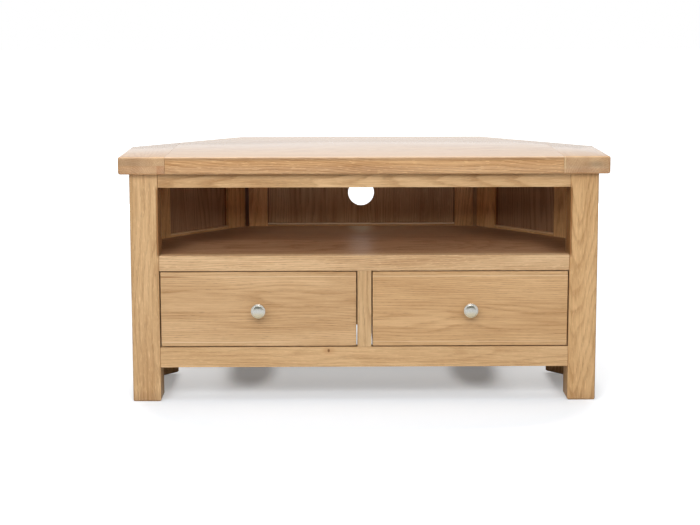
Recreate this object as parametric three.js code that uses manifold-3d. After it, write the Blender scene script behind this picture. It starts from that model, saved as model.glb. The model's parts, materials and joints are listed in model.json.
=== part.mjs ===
// A corner television cabinet in oak: a capped top on two square legs, an open shelf space,
// two dovetailed drawers, and a body of five frame-and-panel walls that turns the corner at
// 45 degrees. Millimetres, +Z up. The front faces -Y and X = 0 is the plane of symmetry.
// While it is built, Y = 0 is the front face of the legs and Z = 0 is the floor.
import * as THREE from "three";
import { mergeVertices } from "three/addons/utils/BufferGeometryUtils.js";
import Module from "manifold-3d";

const wasm = await Module();
wasm.setup();

// Clearances and cutting values shared by all pieces
const jointGap = 0.3; // glue line or play between two faces that meet
const overrun = 5; // how far a cutting body reaches past what it cuts
const weldDistance = 0.0001;

// Top
const width = 1000;
const topThick = 36;
const topSideLength = 207.5; // straight part of each side edge, before the cut corner
const topCornerCut = 222.5; // what the 45-degree cut takes off each back corner, each way
const topSideOverhang = 20;
const topFrontOverhang = 17;
const topBackOverhang = 2; // past the diagonal walls and the back
const topCornerRadius = 6;
const topEdgeRadius = 4;
const topEdgeSteps = 3;
const capWidth = 95; // end cap, measured along the front edge
const capTongueLength = 18;
const capTongueThick = 10;
const capTongueStop = 26; // the tongue stops this far inside the outer edges

// Front legs
const legSize = 58;
const legArris = 4.5; // radius of the two outer corners
const legInnerArris = 1.5;
const arrisSteps = 4;
const footEase = 3; // chamfer round the bottom of legs and feet

// Front rails and centre stile
const footHeight = 72; // floor to the underside of the body
const bottomRailHeight = 42;
const drawerOpeningHeight = 160;
const shelfRailHeight = 32;
const shelfSpaceHeight = 141; // clear height between the shelf and the front top rail
const topRailHeight = 29;
const railThick = 22;
const railSetback = 1.5; // behind the front face of the legs
const centreStileWidth = 29;
const tenonLength = 22;
const tenonThick = 12;
const tenonShoulder = 4;
const stileTenonLength = 12;

// Frame-and-panel walls
const frameThick = 20;
const stileWidth = 60;
const wallTopRailHeight = 50;
const wallBottomRailHeight = 50;
const lowerBoardRise = 7; // above the shelf
const panelThick = 6;
const panelOutset = 6; // depth of the recess on the outer side
const grooveDepth = 9;
const panelPlay = 0.6; // room for the panel to move in the bottom of its groove
const rebateWidth = 11.3; // shadow line in the two rear inner corners
const rebateDepth = 6;
const cableHoleRadius = 30;
const cableHoleDrop = 93; // its centre, below the underside of the top
const cableHoleSides = 48;

// Rear feet
const rearFootThick = 29;
const rearFootArm = 69;
const rearFootLap = 40; // height of the part that stands behind the walls

// Shelf
const shelfThick = 18;
const shelfTongueThick = 6;
const shelfTongueLength = 5;

// Corner blocks under the top
const blockSize = 34;
const blockHeight = 25;

// Drawers
const drawerSideGap = 2.2; // between the drawer front and the opening, left and right
const drawerEdgeGap = 2; // above and below
const drawerFrontSetback = 2; // behind the front face of the legs
const drawerFrontThick = 20;
const drawerFrontEase = 1;
const boxInset = 0.5; // drawer side behind the end of the drawer front
const boxLift = 1; // bottom edge of the box above that of the front
const boxTopDrop = 25; // top edge of the box below that of the front
const boxRearGap = 13; // between the box's outer rear corner and the diagonal wall
const boxSideThick = 14;
const boxBackThick = 14;
const dovetailLap = 5;
const dovetailCount = 3;
const dovetailShare = 0.6; // width of a tail at its root, as a share of the pitch
const dovetailFlare = 2.6;
const drawerBottomThick = 6;
const drawerBottomLift = 10;
const drawerBottomGroove = 6;

// Drawer runners
const runnerHeight = 14;
const runnerGrooveDepth = 7;
const runnerPlay = 0.5; // below the runner, and between it and the bottom of the groove
const runnerLift = 55; // underside of the runner above the bottom edge of the box
const runnerStop = 2.5; // solid wood left between the drawer front and the groove
const runnerRearSetback = 2; // the runner ends this far before the back of the box
const guideHeight = 50;
const dividerDrop = 17; // underside of the divider below that of the runners

// Knobs
const knobRadius = 15;
const knobNeckRadius = 6;
const knobBaseRadius = 8.5;
const knobBaseThick = 2;
const knobNeckLength = 9;
const knobFlare = 5; // from the neck out to the rim
const knobRim = 4.5;
const knobDome = 4.5; // how far the face stands out of the rim
const knobBead = 1.5; // radius of the ring round the face
const knobGrooveWidth = 0.8; // between the ring and the dome
const knobGrooveDepth = 0.5;
const knobSides = 48;
const domeSteps = 6;
const beadSteps = 3;
const screwRadius = 2;
const screwHeadRadius = 4.2;
const screwHeadThick = 2.4;
const screwDepth = 9; // into the knob
const screwHoleRadius = 2.5;
const screwSides = 20;

// Heights that follow from the sizes above
const drawerFloor = footHeight + bottomRailHeight;
const shelfRailBottom = drawerFloor + drawerOpeningHeight;
const shelfTop = shelfRailBottom + shelfRailHeight;
const shelfBottom = shelfTop - shelfThick;
const topRailBottom = shelfTop + shelfSpaceHeight;
const bodyTop = topRailBottom + topRailHeight;
const height = bodyTop + topThick;
const lowerBoardTop = shelfTop + lowerBoardRise;
const wallTopRailBottom = bodyTop - wallTopRailHeight;

// Places in plan
const topFront = -topFrontOverhang;
const topBack = topFront + topSideLength + topCornerCut;
const bodySide = width / 2 - topSideOverhang; // outer faces of the legs and side walls
const legInner = bodySide - legSize;
const bodyBack = topBack - topBackOverhang;
const railBack = railSetback + railThick;
const cutCorner = width / 2 + topFront + topSideLength; // x + y along the top's cut edge
const bodyCutCorner = cutCorner - topBackOverhang * Math.SQRT2;
const wallInside = bodyCutCorner - frameThick * Math.SQRT2; // the same along the walls' inner faces
const mitreAngle = Math.PI / 8; // half of the 45-degree turn between two walls
const mitreSlope = Math.tan(mitreAngle);
const mitreShift = jointGap / 2 / Math.cos(mitreAngle);
const grooveFront = panelOutset - jointGap;
const grooveBack = panelOutset + panelThick + jointGap;

// Finishes
const oakFinish = { color: 0xd2ab7c, roughness: 0.5, metalness: 0 };
const panelFinish = { color: 0xc99f6e, roughness: 0.5, metalness: 0 };
const drawerBoxFinish = { color: 0xdcc09a, roughness: 0.65, metalness: 0 };
const plyFinish = { color: 0xd8bd93, roughness: 0.7, metalness: 0 };
const runnerFinish = { color: 0xcfa77a, roughness: 0.55, metalness: 0 };
const nickelFinish = { color: 0xc9c6c0, roughness: 0.28, metalness: 1 };
const steelFinish = { color: 0xb9babc, roughness: 0.4, metalness: 1 };

// Turns a closed geometry into a solid that can be joined and cut.
function toSolid(geometry) {
  const bare = geometry.clone();
  bare.deleteAttribute("normal");
  bare.deleteAttribute("uv");
  const merged = mergeVertices(bare, weldDistance);
  const vertProperties = new Float32Array(merged.attributes.position.array);
  const triVerts = new Uint32Array(merged.index.array);
  return new wasm.Manifold(new wasm.Mesh({ numProp: 3, vertProperties, triVerts }));
}

function toGeometry(solid) {
  const mesh = solid.getMesh();
  const geometry = new THREE.BufferGeometry();
  geometry.setAttribute("position", new THREE.BufferAttribute(mesh.vertProperties, 3));
  geometry.setIndex(new THREE.BufferAttribute(mesh.triVerts, 1));
  geometry.computeVertexNormals();
  return geometry;
}

// A closed outline of [a, b] points, pushed along a third axis from low to high.
function extruded(points, low, high) {
  const shape = new THREE.Shape(points.map(([a, b]) => new THREE.Vector2(a, b)));
  const geometry = new THREE.ExtrudeGeometry(shape, { depth: high - low, bevelEnabled: false });
  return geometry.translate(0, 0, low);
}

// Points are [x, y] in plan, and the piece stands between two heights.
function upright(points, low, high) {
  return toSolid(extruded(points, low, high));
}

// Points are [y, z], and the piece runs from left to right.
function crosswise(points, left, right) {
  const turn = new THREE.Matrix4().set(0, 0, 1, 0, 1, 0, 0, 0, 0, 1, 0, 0, 0, 0, 0, 1);
  return toSolid(extruded(points, left, right).applyMatrix4(turn));
}

function block(left, right, front, back, low, high) {
  const outline = [[left, front], [right, front], [right, back], [left, back]];
  return upright(outline, low, high);
}

// A block between two distances from the middle, on the right (1) or on the left (-1).
function pairedBlock(sign, near, far, front, back, low, high) {
  const [left, right] = sign > 0 ? [near, far] : [-far, -near];
  return block(left, right, front, back, low, high);
}

// A round bar along Y, for holes and screws.
function bar(radius, sides, x, front, back, z) {
  const geometry = new THREE.CylinderGeometry(radius, radius, back - front, sides);
  return toSolid(geometry.translate(x, (front + back) / 2, z));
}

// Moves each side of a counterclockwise outline inwards and rounds its corners. A corner
// whose radius is zero stays sharp.
function easedOutline(points, radii, steps, inset) {
  const result = [];
  points.forEach((point, i) => {
    const before = points[(i + points.length - 1) % points.length];
    const after = points[(i + 1) % points.length];
    const normalIn = inwardNormal(before, point);
    const normalOut = inwardNormal(point, after);
    const spread = 1 + normalIn.dot(normalOut);
    const diagonal = normalIn.clone().add(normalOut).divideScalar(spread);
    const corner = new THREE.Vector2(point[0], point[1]);
    const radius = radii[i];
    if (radius === 0) {
      const moved = corner.addScaledVector(diagonal, inset);
      result.push([moved.x, moved.y]);
      return;
    }
    const centre = corner.addScaledVector(diagonal, radius);
    const startAngle = normalIn.clone().negate().angle();
    const turn = normalIn.angleTo(normalOut);
    for (let step = 0; step <= steps; step++) {
      const angle = startAngle + (turn * step) / steps;
      const reach = radius - inset;
      result.push([centre.x + reach * Math.cos(angle), centre.y + reach * Math.sin(angle)]);
    }
  });
  return result;
}

function inwardNormal(from, to) {
  return new THREE.Vector2(from[1] - to[1], to[0] - from[0]).normalize();
}

// Joins outlines with equal point counts, one above the other, into a closed body.
function loft(rings) {
  const positions = rings.flatMap(({ points, z }) => points.flatMap(([x, y]) => [x, y, z]));
  const count = rings[0].points.length;
  const index = [];
  for (let ring = 0; ring + 1 < rings.length; ring++) {
    for (let i = 0; i < count; i++) {
      const a = ring * count + i;
      const b = ring * count + ((i + 1) % count);
      index.push(a, b, b + count, a, b + count, a + count);
    }
  }
  const last = (rings.length - 1) * count;
  const contour = rings[0].points.map(([x, y]) => new THREE.Vector2(x, y));
  for (const [a, b, c] of THREE.ShapeUtils.triangulateShape(contour, [])) {
    index.push(c, b, a);
    index.push(last + a, last + b, last + c);
  }
  const geometry = new THREE.BufferGeometry();
  geometry.setAttribute("position", new THREE.Float32BufferAttribute(positions, 3));
  geometry.setIndex(index);
  return geometry;
}

const root = new THREE.Group();

// Centres the whole part on its own box, with the knobs as its foremost points.
const knobReach = knobBaseThick + knobNeckLength + knobFlare + knobRim + knobDome;
const partFront = Math.min(drawerFrontSetback - jointGap - knobReach, topFront);
root.position.y = -(partFront + topBack) / 2;

function place(parent, name, solid, finish) {
  const mesh = new THREE.Mesh(toGeometry(solid), new THREE.MeshStandardMaterial(finish));
  mesh.name = name;
  parent.add(mesh);
  return mesh;
}

// Top: one slab outline, parted at the end caps

function topSlab() {
  const sideEnd = topFront + topSideLength;
  const rearCorner = width / 2 - topCornerCut;
  const outline = [
    [-width / 2, topFront],
    [width / 2, topFront],
    [width / 2, sideEnd],
    [rearCorner, topBack],
    [-rearCorner, topBack],
    [-width / 2, sideEnd],
  ];
  const radii = outline.map(() => topCornerRadius);
  const rings = [];
  const ring = (inset, z) => {
    rings.push({ points: easedOutline(outline, radii, arrisSteps, inset), z });
  };
  for (let step = 0; step <= topEdgeSteps; step++) {
    const angle = ((Math.PI / 2) * step) / topEdgeSteps;
    ring(topEdgeRadius * (1 - Math.sin(angle)), bodyTop + topEdgeRadius * (1 - Math.cos(angle)));
  }
  for (let step = topEdgeSteps; step >= 0; step--) {
    const angle = ((Math.PI / 2) * step) / topEdgeSteps;
    ring(topEdgeRadius * (1 - Math.sin(angle)), height - topEdgeRadius * (1 - Math.cos(angle)));
  }
  return toSolid(loft(rings));
}

const capSeam = width / 2 - capWidth;

// A tongue of the centre board, or the groove for it when it is grown by a gap.
function capTongue(sign, gap) {
  const root = capSeam - overrun;
  const tip = capSeam + capTongueLength;
  const front = topFront + capTongueStop - gap;
  const back = cutCorner - tip - capTongueStop + gap;
  const middle = bodyTop + topThick / 2;
  const half = capTongueThick / 2 + gap;
  return pairedBlock(sign, root, tip + gap, front, back, middle - half, middle + half);
}

function topBoard() {
  const edge = capSeam - jointGap / 2;
  const reach = overrun + height;
  const between = block(-edge, edge, topFront - overrun, topBack + overrun, 0, reach);
  return topSlab().intersect(between).add(capTongue(1, 0)).add(capTongue(-1, 0));
}

function topEndCap() {
  const edge = capSeam + jointGap / 2;
  const outside = block(edge, width, topFront - overrun, topBack + overrun, 0, overrun + height);
  return topSlab().intersect(outside).subtract(capTongue(1, jointGap));
}

// Front legs and rails, joined by mortise and tenon

const topRailSpan = { low: topRailBottom, high: bodyTop };
const shelfRailSpan = { low: shelfRailBottom, high: shelfTop };
const bottomRailSpan = { low: footHeight, high: drawerFloor };
const tenonFront = railSetback + (railThick - tenonThick) / 2;

// The tenon at one end of a rail, or its mortise when it is grown by a gap.
function railTenon({ low, high }, sign, gap) {
  const root = legInner - overrun;
  const tip = legInner + tenonLength + gap;
  const front = tenonFront - gap;
  const back = tenonFront + tenonThick + gap;
  const bottom = low + tenonShoulder - gap;
  return pairedBlock(sign, root, tip, front, back, bottom, high - tenonShoulder + gap);
}

function frontLeg() {
  const outline = [
    [legInner, 0],
    [bodySide, 0],
    [bodySide, legSize],
    [legInner, legSize],
  ];
  const radii = [legInnerArris, legArris, legInnerArris, legInnerArris];
  // The chamfer at the foot takes away part of each rounded corner, so it is cut afterwards.
  const body = toSolid(loft([
    { points: easedOutline(outline, radii, arrisSteps, 0), z: 0 },
    { points: easedOutline(outline, radii, arrisSteps, 0), z: bodyTop },
  ]));
  const sharp = outline.map(() => 0);
  const envelope = toSolid(loft([
    { points: easedOutline(outline, sharp, arrisSteps, footEase), z: 0 },
    { points: easedOutline(outline, sharp, arrisSteps, 0), z: footEase },
    { points: easedOutline(outline, sharp, arrisSteps, 0), z: bodyTop },
  ]));
  let leg = body.intersect(envelope);
  for (const rail of [topRailSpan, shelfRailSpan, bottomRailSpan]) {
    leg = leg.subtract(railTenon(rail, 1, jointGap));
  }
  const left = bodySide - grooveBack;
  const right = bodySide - grooveFront;
  const front = legSize - grooveDepth;
  const top = bodyTop + overrun;
  return leg.subtract(block(left, right, front, legSize + overrun, footHeight, top));
}

// The tenon at one end of the centre stile, or its mortise when it is grown by a gap.
function stileTenon(low, high, gap) {
  const half = centreStileWidth / 2 - tenonShoulder + gap;
  const front = tenonFront - gap;
  return block(-half, half, front, tenonFront + tenonThick + gap, low - gap, high + gap);
}

const stileTenonTop = shelfRailBottom + stileTenonLength;
const stileTenonFoot = drawerFloor - stileTenonLength;

function frontRail(rail) {
  const body = block(-legInner, legInner, railSetback, railBack, rail.low, rail.high);
  return body.add(railTenon(rail, 1, 0)).add(railTenon(rail, -1, 0));
}

function shelfFrontRail(rail) {
  const [low, high] = shelfTongueBand(jointGap);
  const floor = railBack - shelfTongueLength - jointGap;
  const groove = block(-legInner, legInner, floor, railBack + overrun, low, high);
  const mortise = stileTenon(shelfRailBottom - overrun, stileTenonTop, jointGap);
  return frontRail(rail).subtract(mortise).subtract(groove);
}

function frontBottomRail(rail) {
  const mortise = stileTenon(stileTenonFoot, drawerFloor + overrun, jointGap);
  return frontRail(rail).subtract(mortise);
}

function shelfTongueBand(gap) {
  const middle = (shelfTop + shelfBottom) / 2;
  const half = shelfTongueThick / 2 + gap;
  return [middle - half, middle + half];
}

function centreStile() {
  const half = centreStileWidth / 2;
  return block(-half, half, railSetback, railBack, drawerFloor, shelfRailBottom)
    .add(stileTenon(shelfRailBottom - overrun, stileTenonTop, 0))
    .add(stileTenon(stileTenonFoot, drawerFloor + overrun, 0));
}

// Walls: each runs along its outer face, with x along it and y inwards

function wallRun(from, to) {
  const along = new THREE.Vector2(to[0] - from[0], to[1] - from[1]);
  const length = along.length();
  along.normalize();
  const inward = new THREE.Vector2(-along.y, along.x);
  const toPlan = ([x, y]) => [
    from[0] + along.x * x + inward.x * y,
    from[1] + along.y * x + inward.y * y,
  ];
  return { from, length, angle: along.angle(), toPlan };
}

const sideRun = wallRun([bodySide, legSize], [bodySide, bodyCutCorner - bodySide]);
const rearCornerX = bodyCutCorner - bodyBack;
const diagonalRun = wallRun([bodySide, bodyCutCorner - bodySide], [rearCornerX, bodyBack]);
const backRun = wallRun([rearCornerX, bodyBack], [-rearCornerX, bodyBack]);

// A stile at the start of a run: grooved on one edge, mitred on the other. The two rear ones
// also have a rebate that leaves a shadow line in the inner corner.
function stileOutline(rebated) {
  const outline = [
    [mitreShift, 0],
    [stileWidth, 0],
    [stileWidth, grooveFront],
    [stileWidth - grooveDepth, grooveFront],
    [stileWidth - grooveDepth, grooveBack],
    [stileWidth, grooveBack],
    [stileWidth, frameThick],
  ];
  if (rebated) {
    const step = frameThick - rebateDepth;
    const edge = frameThick * mitreSlope + rebateWidth;
    outline.push([edge, frameThick], [edge, step], [step * mitreSlope + mitreShift, step]);
  } else {
    outline.push([frameThick * mitreSlope + mitreShift, frameThick]);
  }
  return outline;
}

function reversedOutline(outline, length) {
  return outline.map(([x, y]) => [length - x, y]).reverse();
}

// A horizontal member between two stiles, with a stub tenon at each end.
function wallRail(start, end, low, high) {
  const reach = grooveDepth - panelPlay;
  const panelBack = panelOutset + panelThick;
  const outline = [
    [start + jointGap, 0],
    [end - jointGap, 0],
    [end - jointGap, panelOutset],
    [end + reach, panelOutset],
    [end + reach, panelBack],
    [end - jointGap, panelBack],
    [end - jointGap, frameThick],
    [start + jointGap, frameThick],
    [start + jointGap, panelBack],
    [start - reach, panelBack],
    [start - reach, panelOutset],
    [start + jointGap, panelOutset],
  ];
  return upright(outline, low, high);
}

function panelGroove(start, end, low, high) {
  const reach = grooveDepth + overrun;
  return block(start - reach, end + reach, grooveFront, grooveBack, low, high);
}

// The groove in the inner face of a lower board that takes the tongue of the shelf.
function shelfGroove(start, end) {
  const [low, high] = shelfTongueBand(jointGap);
  const bottom = frameThick - shelfTongueLength - jointGap;
  return block(start, end, bottom, frameThick + overrun, low, high);
}

// Adds the pieces of one wall in a group that lies along its run.
function addWall(parent, run, wall) {
  const group = new THREE.Group();
  group.position.set(run.from[0], run.from[1], 0);
  group.rotation.z = run.angle;
  parent.add(group);
  const start = wall.startStile ? stileWidth : 0;
  const end = wall.endStile ? run.length - stileWidth : run.length;
  if (wall.startStile) {
    const outline = stileOutline(wall.rebatedStart);
    place(group, wall.startStile, upright(outline, footHeight, bodyTop), oakFinish);
  }
  if (wall.endStile) {
    const outline = reversedOutline(stileOutline(wall.rebatedEnd), run.length);
    place(group, wall.endStile, upright(outline, footHeight, bodyTop), oakFinish);
  }
  const topRail = wallRail(start, end, wallTopRailBottom, bodyTop).subtract(
    panelGroove(start, end, wallTopRailBottom - overrun, wallTopRailBottom + grooveDepth),
  );
  place(group, wall.topRail, topRail, oakFinish);
  let lower = wallRail(start, end, footHeight, wall.lowerTop).subtract(
    panelGroove(start, end, wall.lowerTop - grooveDepth, wall.lowerTop + overrun),
  );
  if (wall.carriesShelf) {
    lower = lower.subtract(shelfGroove(start - overrun, end + overrun));
  }
  place(group, wall.lower, lower, oakFinish);
  const reach = grooveDepth - panelPlay;
  const panelBack = panelOutset + panelThick;
  const panelLow = wall.lowerTop - reach;
  const panelHigh = wallTopRailBottom + reach;
  let panel = block(start - reach, end + reach, panelOutset, panelBack, panelLow, panelHigh);
  if (wall.cableHole) {
    const z = bodyTop - cableHoleDrop;
    const x = run.length / 2;
    panel = panel.subtract(bar(cableHoleRadius, cableHoleSides, x, -overrun, frameThick, z));
  }
  place(group, wall.panel, panel, panelFinish);
}

// Feet: V-shaped in plan, carrying two walls at a corner and lapping behind both

function cornerFoot(before, after) {
  const outer = (thick) => [
    before.toPlan([before.length - rearFootArm, 0]),
    after.toPlan([0, 0]),
    after.toPlan([rearFootArm, 0]),
    after.toPlan([rearFootArm, thick]),
    after.toPlan([thick * mitreSlope, thick]),
    before.toPlan([before.length - rearFootArm, thick]),
  ];
  const outline = outer(rearFootThick);
  const sharp = outline.map(() => 0);
  const base = toSolid(loft([
    { points: easedOutline(outline, sharp, arrisSteps, footEase), z: 0 },
    { points: easedOutline(outline, sharp, arrisSteps, 0), z: footEase },
    { points: easedOutline(outline, sharp, arrisSteps, 0), z: footHeight },
  ]));
  const inner = frameThick + jointGap;
  const lap = [
    before.toPlan([before.length - rearFootArm, inner]),
    after.toPlan([inner * mitreSlope, inner]),
    after.toPlan([rearFootArm, inner]),
    ...outline.slice(3),
  ];
  return base.add(upright(lap, footHeight - overrun, footHeight + rearFootLap));
}

// Shelf: fits the body between the legs and the walls, and is let into the lower boards

function shelfOutline() {
  const inside = frameThick + jointGap;
  const atPanel = panelOutset + panelThick + jointGap;
  const sideEnd = sideRun.length - stileWidth - jointGap;
  const half = [
    [legInner - jointGap, railBack],
    [legInner - jointGap, legSize + jointGap],
    sideRun.toPlan([jointGap, atPanel]),
    sideRun.toPlan([sideEnd, atPanel]),
    sideRun.toPlan([sideEnd, inside]),
    diagonalRun.toPlan([inside * mitreSlope, inside]),
    backRun.toPlan([inside * mitreSlope, inside]),
  ];
  return [...half, ...half.map(([x, y]) => [-x, y]).reverse()];
}

function shelf() {
  const [low, high] = shelfTongueBand(0);
  const front = railBack - shelfTongueLength;
  const end = legInner - jointGap - shelfTongueLength;
  let board = upright(shelfOutline(), shelfBottom, shelfTop);
  board = board.add(block(-end, end, front, railBack + overrun, low, high));
  const edge = frameThick - shelfTongueLength;
  const tongue = (run) => {
    const ends = [stileWidth + jointGap, run.length - stileWidth - jointGap];
    return [
      run.toPlan([ends[0], edge]),
      run.toPlan([ends[1], edge]),
      run.toPlan([ends[1], frameThick + overrun]),
      run.toPlan([ends[0], frameThick + overrun]),
    ];
  };
  const right = tongue(diagonalRun);
  const left = right.map(([x, y]) => [-x, y]).reverse();
  for (const outline of [right, left, tongue(backRun)]) {
    board = board.add(upright(outline, low, high));
  }
  return board;
}

function cornerBlock() {
  const outline = [
    [legInner, railBack],
    [legInner, railBack + blockSize],
    [legInner - blockSize, railBack],
  ];
  return upright(outline, bodyTop - blockHeight, bodyTop);
}

// Drawers: built round x = 0 of their own, then moved to the middle of the opening

const openingLeft = centreStileWidth / 2;
const openingCentre = (openingLeft + legInner) / 2;
const frontHalf = (legInner - openingLeft) / 2 - drawerSideGap;
const frontLow = drawerFloor + drawerEdgeGap;
const frontHigh = shelfRailBottom - drawerEdgeGap;
const frontFace = drawerFrontSetback;
const frontRear = frontFace + drawerFrontThick;
const boxHalf = frontHalf - boxInset;
const boxLow = frontLow + boxLift;
const boxHigh = frontHigh - boxTopDrop;
const boxRear = wallInside - (openingCentre + boxHalf) - boxRearGap;
const sideInner = boxHalf - boxSideThick;
const bottomLow = boxLow + drawerBottomLift;
const bottomHigh = bottomLow + drawerBottomThick;
const backLow = bottomHigh + jointGap;
const runnerLow = boxLow + runnerLift;
const runnerHigh = runnerLow + runnerHeight;
const runnerFront = frontRear + runnerStop + jointGap;
const runnerBack = boxRear - runnerRearSetback;

// The tails on one end of a drawer side, as outlines in [y, z], grown by a gap for sockets.
function tails(root, tip, low, high, gap) {
  const pitch = (high - low) / dovetailCount;
  const half = (pitch * dovetailShare) / 2 + gap;
  const out = Math.sign(tip - root);
  const rows = [];
  for (let i = 0; i < dovetailCount; i++) {
    const middle = low + pitch * (i + 1 / 2);
    const flare = half + dovetailFlare;
    rows.push([
      [root - out * overrun, middle - half],
      [root, middle - half],
      [tip + out * gap, middle - flare],
      [tip + out * gap, middle + flare],
      [root, middle + half],
      [root - out * overrun, middle + half],
    ]);
  }
  return rows;
}

const lapTip = frontFace + dovetailLap;
const frontTails = (gap) => tails(frontRear, lapTip, boxLow, boxHigh, gap);
const backTails = (gap) => tails(boxRear - boxBackThick, boxRear, backLow, boxHigh, gap);

// The same sockets at both ends of the board that takes the tails.
function sockets(outlines) {
  const inner = sideInner - jointGap;
  const outer = frontHalf + overrun;
  return outlines.flatMap((outline) => [
    crosswise(outline, inner, outer),
    crosswise(outline, -outer, -inner),
  ]);
}

function joined(solids) {
  return solids.reduce((sum, solid) => sum.add(solid));
}

// The groove along the outside of the box, on the right (1) or the left (-1). It starts behind
// the drawer front, runs out through the back, and rides on the runner.
function runnerGroove(sign) {
  const floor = boxHalf - runnerGrooveDepth;
  const start = frontRear + runnerStop;
  const [low, high] = [runnerLow - runnerPlay, runnerHigh + jointGap];
  return pairedBlock(sign, floor, boxHalf + overrun, start, boxRear + overrun, low, high);
}

// The groove that holds the edges of the drawer bottom, over the whole width of the box.
function bottomSlot(front, back) {
  const end = sideInner + drawerBottomGroove;
  return block(-end, end, front, back, bottomLow - jointGap, bottomHigh + jointGap);
}

// The right-hand side of a drawer. The left-hand one is its mirror image.
function drawerSide() {
  const body = block(sideInner, boxHalf, frontRear, boxRear - boxBackThick, boxLow, boxHigh);
  const heel = block(sideInner, boxHalf, boxRear - boxBackThick - overrun, boxRear, boxLow, backLow);
  const ends = [...frontTails(0), ...backTails(0)].map((outline) =>
    crosswise(outline, sideInner, boxHalf),
  );
  const slot = bottomSlot(frontRear - drawerBottomGroove, boxRear + overrun);
  return joined([body, heel, ...ends]).subtract(runnerGroove(1)).subtract(slot);
}

function drawerFront() {
  const outline = [
    [-frontHalf, frontLow],
    [frontHalf, frontLow],
    [frontHalf, frontHigh],
    [-frontHalf, frontHigh],
  ];
  const sharp = outline.map(() => 0);
  const rings = [
    { points: outline, z: -frontRear },
    { points: outline, z: -frontFace - drawerFrontEase },
    { points: easedOutline(outline, sharp, arrisSteps, drawerFrontEase), z: -frontFace },
  ];
  // The loft rises towards the viewer, so it is laid over until its Z points along -Y.
  let front = toSolid(loft(rings).rotateX(Math.PI / 2));
  for (const socket of sockets(frontTails(jointGap))) {
    front = front.subtract(socket);
  }
  const slot = bottomSlot(frontRear - drawerBottomGroove, frontRear + overrun);
  const hole = bar(screwHoleRadius, screwSides, 0, frontFace - overrun, frontRear + overrun, knobHeight);
  return front.subtract(slot).subtract(hole);
}

function drawerBack() {
  const front = boxRear - boxBackThick + jointGap;
  let back = block(-boxHalf, boxHalf, front, boxRear, backLow + jointGap, boxHigh);
  for (const socket of sockets(backTails(jointGap))) {
    back = back.subtract(socket);
  }
  return back.subtract(runnerGroove(1)).subtract(runnerGroove(-1));
}

function drawerBottom() {
  const half = sideInner + drawerBottomGroove - jointGap;
  const front = frontRear - drawerBottomGroove + jointGap;
  return block(-half, half, front, boxRear, bottomLow, bottomHigh);
}

// Knob: a base, a neck, a flared underside, a rim with a bead, a groove and a low dome, turned about Y

const knobHeight = (frontLow + frontHigh) / 2;
const knobSeat = frontFace - jointGap;

function knob() {
  const neckEnd = knobBaseThick + knobNeckLength;
  const rimStart = neckEnd + knobFlare;
  const rimEnd = rimStart + knobRim;
  const bore = screwRadius + jointGap;
  const profile = [
    [0, screwDepth],
    [bore, screwDepth],
    [bore, 0],
    [knobBaseRadius, 0],
    [knobBaseRadius, knobBaseThick],
    [knobNeckRadius, knobBaseThick],
  ];
  // The flare is a quarter of an ellipse from the neck out to the rim.
  for (let step = 0; step <= domeSteps; step++) {
    const angle = ((Math.PI / 2) * step) / domeSteps;
    const flareRadius = knobRadius - (knobRadius - knobNeckRadius) * Math.cos(angle);
    profile.push([flareRadius, neckEnd + knobFlare * Math.sin(angle)]);
  }
  // The bead is a quarter of a circle from the rim to the groove.
  const beadRadius = knobRadius - knobBead;
  for (let step = 0; step <= beadSteps; step++) {
    const angle = ((Math.PI / 2) * step) / beadSteps;
    profile.push([beadRadius + knobBead * Math.cos(angle), rimEnd + knobBead * Math.sin(angle)]);
  }
  const grooveFloor = rimEnd + knobBead - knobGrooveDepth;
  profile.push([beadRadius, grooveFloor]);
  // The dome is a quarter of an ellipse from the groove in to the axis.
  const domeRadius = beadRadius - knobGrooveWidth;
  const domeHeight = rimEnd + knobDome - grooveFloor;
  for (let step = 0; step < domeSteps; step++) {
    const angle = ((Math.PI / 2) * step) / domeSteps;
    profile.push([domeRadius * Math.cos(angle), grooveFloor + domeHeight * Math.sin(angle)]);
  }
  profile.push([0, rimEnd + knobDome]);
  const points = profile.map(([r, out]) => new THREE.Vector2(r, -out)).reverse();
  const geometry = new THREE.LatheGeometry(points, knobSides);
  return toSolid(geometry.translate(0, knobSeat, knobHeight));
}

function knobScrew() {
  const tip = knobSeat - screwDepth + jointGap;
  const seat = frontRear + jointGap;
  const shank = bar(screwRadius, screwSides, 0, tip, seat + screwHeadThick / 2, knobHeight);
  return shank.add(bar(screwHeadRadius, screwSides, 0, seat, seat + screwHeadThick, knobHeight));
}

function addDrawer(parent, side) {
  const drawer = new THREE.Group();
  drawer.position.x = openingCentre;
  parent.add(drawer);
  const mirrored = new THREE.Group();
  mirrored.scale.x = -1;
  drawer.add(mirrored);
  place(drawer, `drawer_front_${side}`, drawerFront(), oakFinish);
  place(drawer, `drawer_outer_side_${side}`, drawerSide(), drawerBoxFinish);
  place(mirrored, `drawer_inner_side_${side}`, drawerSide(), drawerBoxFinish);
  place(drawer, `drawer_back_${side}`, drawerBack(), drawerBoxFinish);
  place(drawer, `drawer_bottom_${side}`, drawerBottom(), plyFinish);
  place(drawer, `knob_${side}`, knob(), nickelFinish);
  place(drawer, `knob_screw_${side}`, knobScrew(), steelFinish);
}

// Runners, on the divider and the leg side of each opening

const runnerReach = drawerSideGap + boxInset + runnerGrooveDepth - runnerPlay;

function runner(left) {
  return block(left, left + runnerReach, runnerFront, runnerBack, runnerLow, runnerHigh);
}

// The outer guide fills the space between the opening and the side wall behind the leg.
function outerGuide() {
  const wall = bodySide - frameThick - jointGap;
  const diagonal = wallInside - jointGap * Math.SQRT2;
  const outline = [
    [legInner, legSize + jointGap],
    [wall, legSize + jointGap],
    [wall, diagonal - wall],
    [legInner, diagonal - legInner],
  ];
  const middle = (runnerLow + runnerHigh) / 2;
  return upright(outline, middle - guideHeight / 2, middle + guideHeight / 2);
}

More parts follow.
